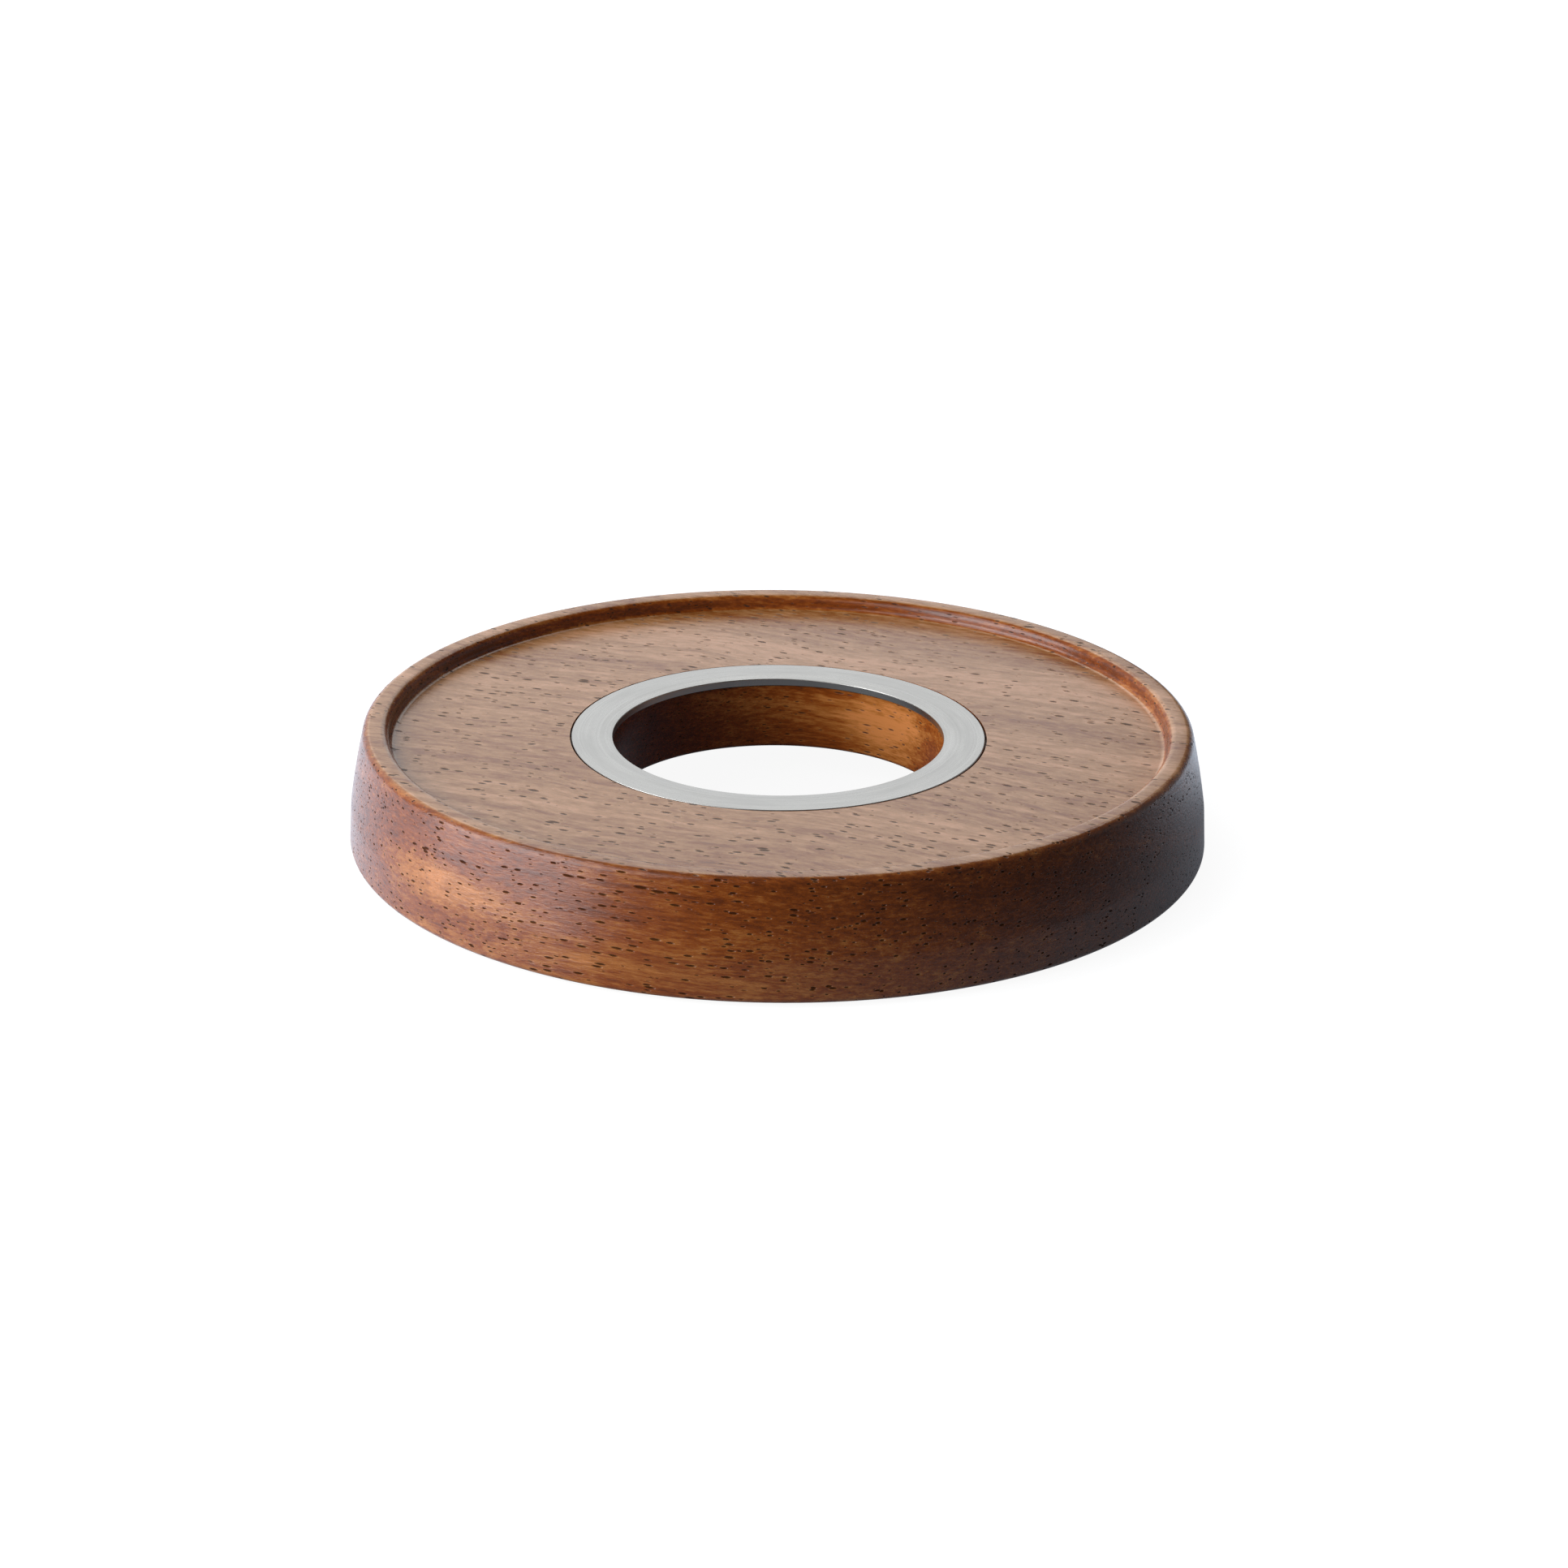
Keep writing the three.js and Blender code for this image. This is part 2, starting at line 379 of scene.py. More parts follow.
def lie_of_grain(tree, place):
    """Where a place lies along, across and up the grain in mm, and in which growth layer."""
    grain = add(tree, "ShaderNodeMapping", {
        "Vector": place, "Rotation": (0.0, 0.0, GRAIN_TURN), "Scale": (1 / MM,) * 3,
    })
    sweep = add(tree, "ShaderNodeTexNoise", {
        "Vector": grain.outputs["Vector"], "Scale": 1 / SWEEP_SPAN,
        "Detail": 2.0, "Roughness": 0.4,
    })
    centred = add(tree, "ShaderNodeVectorMath", {
        0: sweep.outputs["Color"], 1: (0.5, 0.5, 0.5),
    }, operation="SUBTRACT")
    swept = add(tree, "ShaderNodeVectorMath", {
        0: centred.outputs["Vector"], 1: SWEEP_REACH, 2: grain.outputs["Vector"],
    }, operation="MULTIPLY_ADD")
    # The layers lie nearly flat in the board and fan out towards the back
    board = add(tree, "ShaderNodeMapping", {"Vector": place, "Scale": (1 / MM,) * 3})
    axes = add(tree, "ShaderNodeSeparateXYZ", {"Vector": board.outputs["Vector"]})
    fan = add(tree, "ShaderNodeMath", {
        0: axes.outputs["X"], 1: BAND_FAN, 2: 1.0,
    }, operation="MULTIPLY_ADD")
    fanned = add(tree, "ShaderNodeMath", {
        0: axes.outputs["Y"], 1: fan.outputs["Value"],
    }, operation="MULTIPLY")
    layers = add(tree, "ShaderNodeCombineXYZ", {
        "X": axes.outputs["X"], "Y": fanned.outputs["Value"], "Z": axes.outputs["Z"],
    })
    bowed = add(tree, "ShaderNodeVectorMath", {
        0: centred.outputs["Vector"], 1: SWEEP_REACH, 2: layers.outputs["Vector"],
    }, operation="MULTIPLY_ADD")
    layer = add(tree, "ShaderNodeVectorMath", {
        0: bowed.outputs["Vector"], 1: (BAND_SLOPE, 1.0, LAYER_RISE),
    }, operation="DOT_PRODUCT")
    return swept.outputs["Vector"], layer.outputs["Value"]


def growth_bands(tree, layer):
    """The tone of the broad bands, from dark 0 to pale 1."""
    first, last = BANDS[0][0], BANDS[-1][0]
    band_place = add(tree, "ShaderNodeMapRange", {
        "Value": layer, "From Min": first + LAYER_RISE * RECESS_LEVEL,
        "From Max": last + LAYER_RISE * RECESS_LEVEL,
    })
    bands = add(tree, "ShaderNodeValToRGB", {"Fac": band_place.outputs["Result"]})
    bands.color_ramp.interpolation = "EASE"
    stops = bands.color_ramp.elements
    for number, (where, tone) in enumerate(BANDS):
        share = (where - first) / (last - first)
        if number == 0:
            stop = stops[0]
        elif number == len(BANDS) - 1:
            stop = stops[-1]
        else:
            stop = stops.new(share)
        stop.position, stop.color = share, (tone, tone, tone, 1.0)
    return bands.outputs["Color"]


def painted_glows(tree, swept):
    """How much each painted glow lightens a place; the glows are painted light."""
    lifts = []
    for middle, size, glow_strength in PAINTED_GLOWS:
        from_middle = add(tree, "ShaderNodeVectorMath", {0: swept, 1: middle}, operation="SUBTRACT")
        in_sizes = add(tree, "ShaderNodeVectorMath", {
            0: from_middle.outputs["Vector"], 1: size,
        }, operation="DIVIDE")
        depth = add(tree, "ShaderNodeVectorMath", {
            0: in_sizes.outputs["Vector"],
        }, operation="LENGTH")
        lift = add(tree, "ShaderNodeMapRange", {
            "Value": depth.outputs["Value"], "From Min": 0.1, "From Max": 1.1,
            "To Min": glow_strength, "To Max": 0.0,
        }, interpolation_type="SMOOTHSTEP")
        lifts.append(lift.outputs["Result"])
    return lifts


def cut_pores(tree, swept, lines):
    """Pores of many sizes in rows along the dark lines, and the pale halo round each."""
    pore_place = add(tree, "ShaderNodeVectorMath", {
        0: swept, 1: tuple(1 / side for side in PORE_CELL),
    }, operation="MULTIPLY")
    cells = add(tree, "ShaderNodeTexVoronoi", {
        "Vector": pore_place.outputs["Vector"], "Scale": 1.0, "Randomness": 1.0,
    })
    chance = add(tree, "ShaderNodeSeparateColor", {"Color": cells.outputs["Color"]})
    crowd = add(tree, "ShaderNodeMapRange", {
        "Value": lines, "From Min": 0.35, "From Max": 0.65, "To Min": 1.0, "To Max": 0.4,
    })
    largeness = add(tree, "ShaderNodeMath", {
        0: chance.outputs["Red"], 1: crowd.outputs["Result"],
    }, operation="MULTIPLY")
    size = add(tree, "ShaderNodeMapRange", {
        "Value": largeness.outputs["Value"], "To Min": PORE_SIZES[0], "To Max": PORE_SIZES[1],
    })
    from_core = add(tree, "ShaderNodeMath", {
        0: cells.outputs["Distance"], 1: size.outputs["Result"],
    }, operation="DIVIDE")
    pores = add(tree, "ShaderNodeMapRange", {
        "Value": from_core.outputs["Value"], "From Min": 0.6, "From Max": 1.2,
        "To Min": 1.0, "To Max": 0.0,
    }, interpolation_type="SMOOTHSTEP")
    halo = add(tree, "ShaderNodeMapRange", {
        "Value": from_core.outputs["Value"], "From Min": 1.1, "From Max": 2.2,
        "To Min": HALO_TONE, "To Max": 0.0,
    })
    return pores.outputs["Result"], halo.outputs["Result"]


def kinds_of_face(tree, place):
    """How far a face is outer wall, recess wall, any inside wall and bore, and its end grain."""
    surface = add(tree, "ShaderNodeNewGeometry")
    outward = add(tree, "ShaderNodeVectorMath", {
        0: surface.outputs["Normal"], 1: place,
    }, operation="DOT_PRODUCT")
    wall, recess, inside = (
        add(tree, "ShaderNodeMapRange", {
            "Value": outward.outputs["Value"], "From Min": start * MM, "From Max": full * MM,
        }).outputs["Result"]
        for start, full in (OUTER_WALL, RECESS_WALL, INSIDE_WALLS)
    )
    bore = add(tree, "ShaderNodeMath", {0: inside, 1: recess}, operation="SUBTRACT")
    facing = add(tree, "ShaderNodeVectorMath", {
        0: surface.outputs["Normal"], 1: GRAIN_LINE,
    }, operation="DOT_PRODUCT")
    cut_across = add(tree, "ShaderNodeMath", {0: facing.outputs["Value"]}, operation="ABSOLUTE")
    end_grain = add(tree, "ShaderNodeMapRange", {
        "Value": cut_across.outputs["Value"], "From Min": 0.5, "To Max": END_SOAK,
    })
    return wall, recess, inside, bore.outputs["Value"], end_grain.outputs["Result"]


def oiled_hardwood(colours):
    """Open-pored tropical hardwood, turned, sanded and oiled. The eye gets broad amber and brown
    bands along the grain, dark dashes where the pores are cut along and dots where they are cut
    across, and a satin sheen.
    """
    material, tree = new_material("oiled_open_pored_hardwood")
    place = add(tree, "ShaderNodeTexCoord").outputs["Object"]
    swept, layer = lie_of_grain(tree, place)
    line_place = add(tree, "ShaderNodeVectorMath", {
        0: swept, 1: (0.0, 1.0, LAYER_RISE),
    }, operation="DOT_PRODUCT")
    lines = add(tree, "ShaderNodeTexNoise", {
        "W": line_place.outputs["Value"], "Scale": 1 / LINE_SPACING,
        "Detail": 4.0, "Roughness": 0.65,
    }, noise_dimensions="1D").outputs["Fac"]
    drawn = []
    for size, crispness in ((STREAK_SIZE, 0.65), (FIBRE_SIZE, 0.75)):
        stretched = add(tree, "ShaderNodeVectorMath", {
            0: swept, 1: tuple(1 / side for side in size),
        }, operation="MULTIPLY")
        drawn.append(add(tree, "ShaderNodeTexNoise", {
            "Vector": stretched.outputs["Vector"], "Scale": 1.0,
            "Detail": 4.0, "Roughness": crispness,
        }).outputs["Fac"])
    streaks, fibres = drawn
    pores, halo = cut_pores(tree, swept, lines)
    # The outer wall has drunk more oil than the sanded top, and so has the end grain; the recess
    # wall and the bore get painted shade
    wall, recess, inside, bore, end_grain = kinds_of_face(tree, place)
    tone = growth_bands(tree, layer)
    # The painted glows below lighten the tone as painted light
    shares = (
        (streaks, STREAK_TONE), (lines, LINE_TONE), (fibres, FIBRE_TONE), (halo, 1.0),
        *((lift, 1.0) for lift in painted_glows(tree, swept)),
        (wall, -WALL_SOAK), (recess, -RECESS_PAINTED_SHADE), (bore, -BORE_PAINTED_SHADE), (end_grain, -1.0),
    )
    for pattern, weight in shares:
        tone = add(tree, "ShaderNodeMath", {
            0: pattern, 1: weight, 2: tone,
        }, operation="MULTIPLY_ADD").outputs["Value"]
    # Each noise is centred on 0.5, so half its weight is taken off again
    half = (STREAK_TONE + LINE_TONE + FIBRE_TONE) / 2
    shade = add(tree, "ShaderNodeMapRange", {
        "Value": tone, "From Min": half, "From Max": 1.0 + half,
    })
    ramp = add(tree, "ShaderNodeValToRGB", {"Fac": shade.outputs["Result"]})
    stops = ramp.color_ramp.elements
    stops[0].color, stops[1].color = colours.wood_dark, colours.wood_pale
    stops.new(0.35).color = colours.wood_brown
    stops.new(0.65).color = colours.wood_amber
    walls = add(tree, "ShaderNodeMath", {0: wall, 1: inside}, operation="MAXIMUM")
    oiled = add(tree, "ShaderNodeMix", {
        "Factor": walls.outputs["Value"], "A": ramp.outputs["Color"], "B": colours.oil,
    }, data_type="RGBA", blend_type="MULTIPLY")
    pore_dark = add(tree, "ShaderNodeMath", {0: pores, 1: PORE_TINT}, operation="MULTIPLY")
    pored = add(tree, "ShaderNodeMix", {
        "Factor": pore_dark.outputs["Value"], "A": oiled.outputs["Result"], "B": colours.pore,
    }, data_type="RGBA")
    # Gloss, which an open pore doesn't send back
    coarseness = add(tree, "ShaderNodeMath", {
        0: wall, 1: 1.0 - TOP_COARSENESS, 2: TOP_COARSENESS,
    }, operation="MULTIPLY_ADD")
    open_pores = add(tree, "ShaderNodeMath", {
        0: pores, 1: coarseness.outputs["Value"],
    }, operation="MULTIPLY")
    dull = add(tree, "ShaderNodeMapRange", {
        "Value": bore, "To Min": WOOD_GLOSS, "To Max": BORE_GLOSS,
    })
    gloss = add(tree, "ShaderNodeMapRange", {
        "Value": open_pores.outputs["Value"],
        "To Min": dull.outputs["Result"], "To Max": PORE_GLOSS,
    })
    # The sheen is a little rougher on the fibres' lows, smoother on the wall and matt in the pores
    sheen = add(tree, "ShaderNodeMapRange", {"Value": fibres, "To Min": 0.30, "To Max": 0.20})
    polished = add(tree, "ShaderNodeMath", {
        0: wall, 1: -0.07, 2: sheen.outputs["Result"],
    }, operation="MULTIPLY_ADD")
    roughness = add(tree, "ShaderNodeMath", {
        0: pores, 1: 0.3, 2: polished.outputs["Value"],
    }, operation="MULTIPLY_ADD")
    # Relief of the pores and fibres, as a share of the pores' depth
    depth = add(tree, "ShaderNodeMath", {
        0: fibres, 1: FIBRE_HEIGHT / PORE_DEPTH, 2: pores,
    }, operation="MULTIPLY_ADD")
    height = add(tree, "ShaderNodeMath", {0: 1.0, 1: depth.outputs["Value"]}, operation="SUBTRACT")
    relief = add(tree, "ShaderNodeBump", {
        "Height": height.outputs["Value"], "Strength": coarseness.outputs["Value"],
        "Distance": PORE_DEPTH * MM,
    })
    shader = add(tree, "ShaderNodeBsdfPrincipled", {
        "Base Color": pored.outputs["Result"], "Roughness": roughness.outputs["Value"],
        "Normal": relief.outputs["Normal"], "IOR": 1.55,
        "Specular IOR Level": gloss.outputs["Result"],
    })
    add(tree, "ShaderNodeOutputMaterial", {"Surface": shader.outputs["BSDF"]})
    return material


TOOL_MARK = 0.6 * MM  # really about 0.1 mm apart, drawn wider so that they show
WIPE_TRACK = 5 * MM  # across the wiped arcs, which come out about 20 mm long and 2.5 mm wide


def turned_steel(colours):
    """Stainless steel faced on a lathe. The eye gets a cool satin grey with fine rings and wiped
    arcs.
    """
    material, tree = new_material("lathe_faced_stainless_steel")
    place = add(tree, "ShaderNodeTexCoord")
    flat = add(tree, "ShaderNodeVectorMath", {
        0: place.outputs["Object"], 1: (1.0, 1.0, 0.0),
    }, operation="MULTIPLY")
    radius = add(tree, "ShaderNodeVectorMath", {0: flat.outputs["Vector"]}, operation="LENGTH")
    count = add(tree, "ShaderNodeMath", {
        0: radius.outputs["Value"], 1: 1 / TOOL_MARK,
    }, operation="MULTIPLY")
    marks = add(tree, "ShaderNodeTexNoise", {
        "W": count.outputs["Value"], "Scale": 1.0, "Detail": 2.0, "Roughness": 0.7,
    }, noise_dimensions="1D")
    heading = add(tree, "ShaderNodeVectorMath", {0: flat.outputs["Vector"]}, operation="NORMALIZE")
    turn = add(tree, "ShaderNodeSeparateXYZ", {"Vector": heading.outputs["Vector"]})
    track = add(tree, "ShaderNodeMath", {
        0: radius.outputs["Value"], 1: 1 / WIPE_TRACK,
    }, operation="MULTIPLY")
    arc = add(tree, "ShaderNodeCombineXYZ", {
        "X": turn.outputs["X"], "Y": turn.outputs["Y"], "Z": track.outputs["Value"],
    })
    wipes = add(tree, "ShaderNodeTexNoise", {
        "Vector": arc.outputs["Vector"], "Scale": 2.2, "Detail": 4.0, "Roughness": 0.6,
    })
    worn = add(tree, "ShaderNodeMix", {
        "Factor": 0.65, "A": marks.outputs["Fac"], "B": wipes.outputs["Fac"],
    }, data_type="FLOAT")
    tint = add(tree, "ShaderNodeMapRange", {
        "Value": worn.outputs["Result"], "From Min": 0.25, "From Max": 0.75,
        "To Min": 0.84, "To Max": 1.14,
    })
    shade = add(tree, "ShaderNodeVectorMath", {
        0: colours.steel[:3], "Scale": tint.outputs["Result"],
    }, operation="SCALE")
    roughness = add(tree, "ShaderNodeMapRange", {
        "Value": worn.outputs["Result"], "To Min": 0.36, "To Max": 0.20,
    })
    relief = add(tree, "ShaderNodeBump", {
        "Height": marks.outputs["Fac"], "Strength": 0.35, "Distance": 0.02 * MM,
    })
    shader = add(tree, "ShaderNodeBsdfPrincipled", {
        "Base Color": shade.outputs["Vector"], "Metallic": 1.0,
        "Roughness": roughness.outputs["Result"], "Normal": relief.outputs["Normal"],
    })
    add(tree, "ShaderNodeOutputMaterial", {"Surface": shader.outputs["BSDF"]})
    return material


SWIRL = 4 * MM  # size of the swirls in the adhesive


def cured_adhesive(colours):
    """Clear adhesive, rolled on and cured. The eye gets a dull cream film with small bubbles and
    swirls.
    """
    material, tree = new_material("cured_adhesive_film")
    place = add(tree, "ShaderNodeTexCoord")
    swirls = add(tree, "ShaderNodeTexNoise", {
        "Vector": place.outputs["Object"], "Scale": 1 / SWIRL, "Detail": 3.0, "Roughness": 0.6,
        "Distortion": 0.8,
    })
    tint = add(tree, "ShaderNodeMapRange", {
        "Value": swirls.outputs["Fac"], "To Min": 0.75, "To Max": 1.0,
    })
    shade = add(tree, "ShaderNodeVectorMath", {
        0: colours.adhesive[:3], "Scale": tint.outputs["Result"],
    }, operation="SCALE")
    roughness = add(tree, "ShaderNodeMapRange", {
        "Value": swirls.outputs["Fac"], "To Min": 0.45, "To Max": 0.7,
    })
    shader = add(tree, "ShaderNodeBsdfPrincipled", {
        "Base Color": shade.outputs["Vector"], "Roughness": roughness.outputs["Result"], "IOR": 1.5,
    })
    add(tree, "ShaderNodeOutputMaterial", {"Surface": shader.outputs["BSDF"]})
    return material


MOTTLE = 5 * MM  # size of the rubber's mottling
STIPPLE = 0.4 * MM  # left by the mould


def moulded_rubber(colours):
    """Black rubber from an eroded mould. The eye gets a matt, faintly mottled dark grey with a
    fine stipple.
    """
    material, tree = new_material("moulded_black_rubber")
    place = add(tree, "ShaderNodeTexCoord")
    mottle = add(tree, "ShaderNodeTexNoise", {
        "Vector": place.outputs["Object"], "Scale": 1 / MOTTLE, "Detail": 4.0, "Roughness": 0.6,
    })
    tint = add(tree, "ShaderNodeMapRange", {
        "Value": mottle.outputs["Fac"], "To Min": 0.75, "To Max": 1.4,
    })
    shade = add(tree, "ShaderNodeVectorMath", {
        0: colours.rubber[:3], "Scale": tint.outputs["Result"],
    }, operation="SCALE")
    stipple = add(tree, "ShaderNodeTexVoronoi", {
        "Vector": place.outputs["Object"], "Scale": 1 / STIPPLE,
    })
    relief = add(tree, "ShaderNodeBump", {
        "Height": stipple.outputs["Distance"], "Strength": 0.3, "Distance": 0.05 * MM,
    })
    roughness = add(tree, "ShaderNodeMapRange", {
        "Value": mottle.outputs["Fac"], "To Min": 0.7, "To Max": 0.85,
    })
    shader = add(tree, "ShaderNodeBsdfPrincipled", {
        "Base Color": shade.outputs["Vector"], "Roughness": roughness.outputs["Result"],
        "Normal": relief.outputs["Normal"], "IOR": 1.52,
    })
    add(tree, "ShaderNodeOutputMaterial", {"Surface": shader.outputs["BSDF"]})
    return material


# Operators, one for each piece or group of like pieces

class COASTER_OT_wooden_body(bpy.types.Operator):
    """Turns the wooden body: wall, rim, recess, ring's rebate, hole, relief and foot sockets"""

    bl_idname = "coaster.wooden_body"
    bl_label = "Wooden Body"

    def execute(self, context):
        sizes = context.scene.coaster_sizes
        underside = BODY_BOX[0][2]
        rim_top = BODY_BOX[1][2]
        base = sizes.base_diameter / 2
        shoulder = base - sizes.shoulder_inset
        rim = shoulder - sizes.rim_inset
        recess = rim - sizes.rim_width
        ring = RING_BOX[1][0]
        rebate = ring + sizes.ring_gap
        hole = ring - sizes.ring_width + sizes.ring_overhang
        relief = ring + sizes.relief_reach
        shoulder_top = underside + sizes.shoulder_height
        recess_floor = rim_top - sizes.recess_depth
        rebate_floor = RING_BOX[0][2] - sizes.bond_thickness
        relief_ceiling = underside + sizes.relief_depth

        body = turned_blank("coaster_wood", base, underside, rim_top, TURNED_SEGMENTS)
        # The side wall: a short flare up to the shoulder, then a slightly bowed taper up to the rim
        levels = [(shoulder_top, shoulder)]
        slant = math.atan2(shoulder - rim, rim_top - shoulder_top)
        for step in range(1, CROWN_STEPS):
            share = step / CROWN_STEPS
            bow = sizes.wall_crown * 4 * share * (1 - share)
            level = shoulder_top + share * (rim_top - shoulder_top) + bow * math.sin(slant)
            levels.append((level, shoulder + share * (rim - shoulder) + bow * math.cos(slant)))
        for level, _ in levels:
            cut_level(level)
        for level, radius in [*levels, (rim_top, rim)]:
            turn_level(level, radius / base)
        # From above: rim, recess, rebate and hole
        pick_disc(rim_top, True)
        sink(sizes.rim_width, -sizes.recess_depth)
        sink(recess - rebate, rebate_floor - recess_floor)
        sink(rebate - hole, 0.0)
        # From below: relief and hole
        pick_disc(underside, False)
        sink(base - relief, sizes.relief_depth)
        sink(relief - hole, 0.0)
        open_through(rebate_floor, relief_ceiling)
        # Rounded edges: the circle's radius and height, the rounding, the surface's turn, steps
        lower_slant = math.atan2(sizes.shoulder_inset, sizes.shoulder_height)
        top_slant = math.atan2(levels[-1][1] - rim, rim_top - levels[-1][0])
        foot_slant = math.atan2(shoulder - levels[1][1], levels[1][0] - shoulder_top)
        quarter = math.pi / 2
        edges = (
            (rim, rim_top, sizes.rim_rounding, quarter - top_slant, 8),
            (recess, rim_top, sizes.lip_rounding, quarter, 4),
            (recess, recess_floor, sizes.recess_cove, quarter, 6),
            (shoulder, shoulder_top, sizes.shoulder_rounding, foot_slant - lower_slant, 4),
            (base, underside, sizes.base_rounding, quarter + lower_slant, 6),
            (relief, underside, sizes.relief_edge, quarter, 4),
            (relief, relief_ceiling, sizes.relief_cove, quarter, 6),
            (hole, relief_ceiling, sizes.hole_edge, quarter, 4),
        )
        for radius, height, rounding, turn, segments in edges:
            round_edge(radius, height, rounding * math.tan(turn / 2), segments)
        bpy.ops.object.mode_set(mode="OBJECT")
        for node in FOOT_NODES:
            self.cut_socket(body, node, sizes, underside)
        bpy.context.view_layer.objects.active = body
        bpy.ops.object.mode_set(mode="EDIT")
        finish_mesh(body, SOFT_EDGE)
        dress(body, oiled_hardwood(context.scene.coaster_colours))
        hand_over(body, "hardwood", "coaster_body")
        return {"FINISHED"}

    def cut_socket(self, body, node, sizes, underside):
        """Cuts the socket of one foot with a shaped cutter, its mouth eased."""
        low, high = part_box(node)
        middle = ((low[0] + high[0]) / 2, (low[1] + high[1]) / 2)
        radius = (high[0] - low[0]) / 2 + sizes.foot_gap
        bottom = underside - CUT_MARGIN
        cutter = turned_blank("socket_cutter", radius, bottom, high[2], FOOT_SEGMENTS, middle)
        cut_level(underside + SOCKET_EASE)
        cut_level(underside)
        for level, widen in ((underside, SOCKET_EASE), (bottom, SOCKET_EASE + CUT_MARGIN)):
            turn_level(level, (radius + widen) / radius, middle)
        bpy.ops.object.mode_set(mode="OBJECT")
        cut = body.modifiers.new("socket", "BOOLEAN")
        cut.operation = "DIFFERENCE"
        cut.solver = "EXACT"
        cut.object = cutter
        make_active(body)
        bpy.ops.object.modifier_apply(modifier=cut.name)
        body.select_set(False)
        cutter.select_set(True)
        bpy.ops.object.delete()


class COASTER_OT_steel_ring(bpy.types.Operator):
    """Turns the flat steel ring, with a shallow bevel round its bore and its edges broken"""

    bl_idname = "coaster.steel_ring"
    bl_label = "Steel Ring"

    def execute(self, context):
        sizes = context.scene.coaster_sizes
        outer = RING_BOX[1][0]
        bottom, top = RING_BOX[0][2], RING_BOX[1][2]
        bore = outer - sizes.ring_width
        bevel = bore + sizes.ring_bevel_width
        lip = top - sizes.ring_bevel_drop
        ring = turned_blank("steel_inlay_ring", outer, bottom, top, TURNED_SEGMENTS)
        pick_disc(top, True)
        sink(outer - bevel, 0.0)
        bpy.ops.mesh.inset(thickness=sizes.ring_bevel_width, depth=-sizes.ring_bevel_drop)
        pick_disc(bottom, False)
        sink(outer - bore, 0.0)
        open_through(lip, bottom)
        round_edge(outer, top, sizes.ring_edge, 4)
        round_edge(bore, lip, sizes.ring_edge, 4)
        round_edge(outer, bottom, sizes.ring_arris, 2)
        round_edge(bore, bottom, sizes.ring_arris, 2)
        finish_mesh(ring, SHALLOW_EDGE)
        dress(ring, turned_steel(context.scene.coaster_colours))
        hand_over(ring, "turned_steel", "steel_ring")
        return {"FINISHED"}


class COASTER_OT_ring_bond(bpy.types.Operator):
    """Gives the adhesive film under the ring its finish"""

    bl_idname = "coaster.ring_bond"
    bl_label = "Ring Bond"

    def execute(self, context):
        film = frame["nodes"]["ring_bond"]
        material = cured_adhesive(context.scene.coaster_colours)
        for slot in film.material_slots:
            slot.material = material
        return {"FINISHED"}


class COASTER_OT_rubber_feet(bpy.types.Operator):
    """Moulds one rubber foot with a dished sole and sets a copy of it in each socket"""

    bl_idname = "coaster.rubber_feet"
    bl_label = "Rubber Feet"

    def execute(self, context):
        sizes = context.scene.coaster_sizes
        low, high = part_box(FOOT_NODES[0])
        radius = (high[0] - low[0]) / 2
        first = turned_blank("rubber_foot_1", radius, low[2], high[2], FOOT_SEGMENTS)
        # The sole: a flat tread round a dished middle
        pick_disc(low[2], False)
        tread = radius * TREAD_SHARE
        sink(tread, 0.0)
        bpy.ops.mesh.inset(thickness=sizes.foot_dish * 2, depth=-sizes.foot_dish)
        round_edge(radius - tread, low[2], sizes.foot_dish / 2, 3)
        round_edge(radius, low[2], sizes.foot_edge, 6)
        round_edge(radius, high[2], sizes.foot_edge / 2, 3)
        finish_mesh(first, SOFT_EDGE)
        dress(first, moulded_rubber(context.scene.coaster_colours))
        feet = [first]
        for number in range(2, len(FOOT_NODES) + 1):
            foot = first.copy()
            foot.data = first.data.copy()
            foot.name = foot.data.name = f"rubber_foot_{number}"
            bpy.context.collection.objects.link(foot)
            feet.append(foot)
        for foot, node in zip(feet, FOOT_NODES):
            low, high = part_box(node)
            make_active(foot)
            foot.location = ((low[0] + high[0]) / 2, (low[1] + high[1]) / 2, 0.0)
            bpy.ops.object.transform_apply(location=True, rotation=True, scale=True)
            hand_over(foot, "rubber", node)
        return {"FINISHED"}


# The stage

CAMERA_ELEVATION = math.radians(20.573)
CAMERA_DISTANCE = 953.83 * MM  # to the middle of the ring's top
CAMERA_ROLL = 0.0093074
CAMERA_LENS = 90.54
SENSOR_WIDTH = 36.0
PICTURE_PIXELS = 1932
AIM_OFFSET = (-6.935, 61.766)  # of the ring's middle from the picture's, pixels right and up

# Soft lamps: name, azimuth and elevation in degrees, distance and size in metres, radiance
LAMPS = (
    ("window_left", -163, 15.0, 1.3, (1.30, 0.68), 5.4),
    ("softbox_left", -172, 45.0, 1.4, (0.42, 0.75), 5.2),
    ("screen_front_left", -138, 38.0, 1.4, (0.90, 0.80), 2.1),
    ("screen_back_left", 134, 26.0, 1.4, (1.20, 1.10), 0.9),
    ("screen_behind", 96, 18.5, 1.4, (0.78, 0.94), 1.06),
    ("softbox_behind", 88, 50.0, 1.4, (1.20, 0.60), 2.0),
    ("screen_back_right", 28, 17.0, 1.4, (1.40, 0.84), 0.14),
)
ROOM_FILL = 0.01  # strength of the room's light on the coaster
ROOM_SEEN = 0.12  # and in reflections

FLOOR_RADIUS = 9.0
FLOOR_SEGMENTS = 64
FLOOR_WHITE = 0.93  # what the floor adds where the camera looks at it
